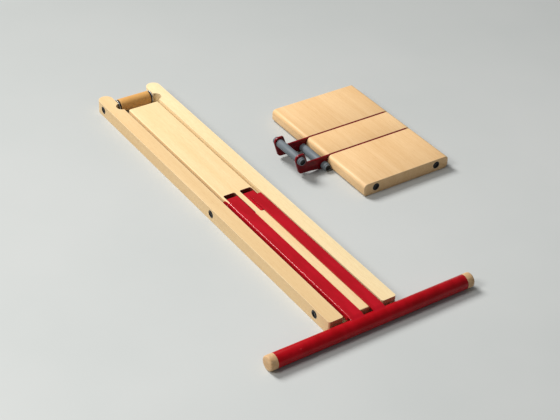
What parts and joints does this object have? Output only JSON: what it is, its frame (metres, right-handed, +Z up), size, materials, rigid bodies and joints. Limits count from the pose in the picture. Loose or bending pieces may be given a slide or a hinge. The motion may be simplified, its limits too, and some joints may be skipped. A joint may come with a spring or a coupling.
{
  "type": "knock-down stool",
  "caption": "Knock-down wooden stool laid flat: slotted beech stand with a hinged red T-leg, beside its slatted seat with hook plates.",
  "frame": {"origin": "centre of the bounding box in X and Y, on the surface that the pieces lie on", "axes": "+X along the leg's cross bar towards the seat, +Y along the stand from the cross bar to the roller, +Z up"},
  "size_m": [0.5132, 0.703, 0.0403],
  "materials": {
    "left_rail": "satin",
    "right_rail": "satin",
    "centre_plank": "satin",
    "lower_rod": "satin",
    "hinge_rod": "satin",
    "roller_axle": "satin",
    "left_lower_plug": "matte",
    "left_hinge_plug": "matte",
    "left_axle_plug": "matte",
    "right_lower_plug": "matte",
    "right_hinge_plug": "matte",
    "right_axle_plug": "matte",
    "left_rubber_washer": "matte",
    "left_steel_washer": "satin",
    "right_rubber_washer": "matte",
    "right_steel_washer": "satin",
    "left_prong": "gloss",
    "right_prong": "gloss",
    "cross_bar": "gloss",
    "left_bar_cap": "satin",
    "right_bar_cap": "satin",
    "roller": "satin",
    "near_board": "satin",
    "middle_board": "satin",
    "far_board": "satin",
    "near_hook_plate": "gloss",
    "far_hook_plate": "gloss",
    "back_tie_rod": "satin",
    "front_tie_rod": "satin",
    "near_back_seat_plug": "matte",
    "near_front_seat_plug": "matte",
    "far_back_seat_plug": "matte",
    "far_front_seat_plug": "matte",
    "hook_rod": "satin",
    "hook_middle_sleeve": "satin",
    "hook_near_sleeve": "satin",
    "hook_far_sleeve": "satin",
    "hook_near_cap": "matte",
    "hook_far_cap": "matte",
    "rest_rod": "satin",
    "rest_middle_sleeve": "satin",
    "rest_near_sleeve": "satin",
    "rest_far_sleeve": "satin",
    "rest_near_cap": "matte",
    "rest_far_cap": "matte"
  },
  "bodies": {
    "stand": {"left_rail": "left_rail", "right_rail": "right_rail", "centre_plank": "centre_plank", "lower_rod": "lower_rod", "hinge_rod": "hinge_rod", "roller_axle": "roller_axle", "left_lower_plug": "left_lower_plug", "left_hinge_plug": "left_hinge_plug", "left_axle_plug": "left_axle_plug", "right_lower_plug": "right_lower_plug", "right_hinge_plug": "right_hinge_plug", "right_axle_plug": "right_axle_plug", "left_rubber_washer": "left_rubber_washer", "left_steel_washer": "left_steel_washer", "right_rubber_washer": "right_rubber_washer", "right_steel_washer": "right_steel_washer"},
    "leg": {"left_prong": "left_prong", "right_prong": "right_prong", "cross_bar": "cross_bar", "left_bar_cap": "left_bar_cap", "right_bar_cap": "right_bar_cap"},
    "roller": {"roller": "roller"},
    "seat": {"near_board": "near_board", "middle_board": "middle_board", "far_board": "far_board", "near_hook_plate": "near_hook_plate", "far_hook_plate": "far_hook_plate", "back_tie_rod": "back_tie_rod", "front_tie_rod": "front_tie_rod", "near_back_seat_plug": "near_back_seat_plug", "near_front_seat_plug": "near_front_seat_plug", "far_back_seat_plug": "far_back_seat_plug", "far_front_seat_plug": "far_front_seat_plug", "hook_rod": "hook_rod", "hook_middle_sleeve": "hook_middle_sleeve", "hook_near_sleeve": "hook_near_sleeve", "hook_far_sleeve": "hook_far_sleeve", "hook_near_cap": "hook_near_cap", "hook_far_cap": "hook_far_cap", "rest_rod": "rest_rod", "rest_middle_sleeve": "rest_middle_sleeve", "rest_near_sleeve": "rest_near_sleeve", "rest_far_sleeve": "rest_far_sleeve", "rest_near_cap": "rest_near_cap", "rest_far_cap": "rest_far_cap"}
  },
  "joints": [
    {"name": "leg_hinge", "type": "hinge", "parent": "stand", "child": "leg", "pos_m": [-0.0892, -0.0177, 0.012], "axis": [-1, 0, 0], "range_deg": [0, 60]},
    {"name": "roller_spin", "type": "hinge", "parent": "stand", "child": "roller", "pos_m": [-0.0892, 0.3263, 0.012], "axis": [1, 0, 0], "continuous": true},
    {"name": "seat_lift", "type": "slide", "parent": "stand", "child": "seat", "axis": [0, 0, 1], "range_m": [0, 0.25]}
  ]
}
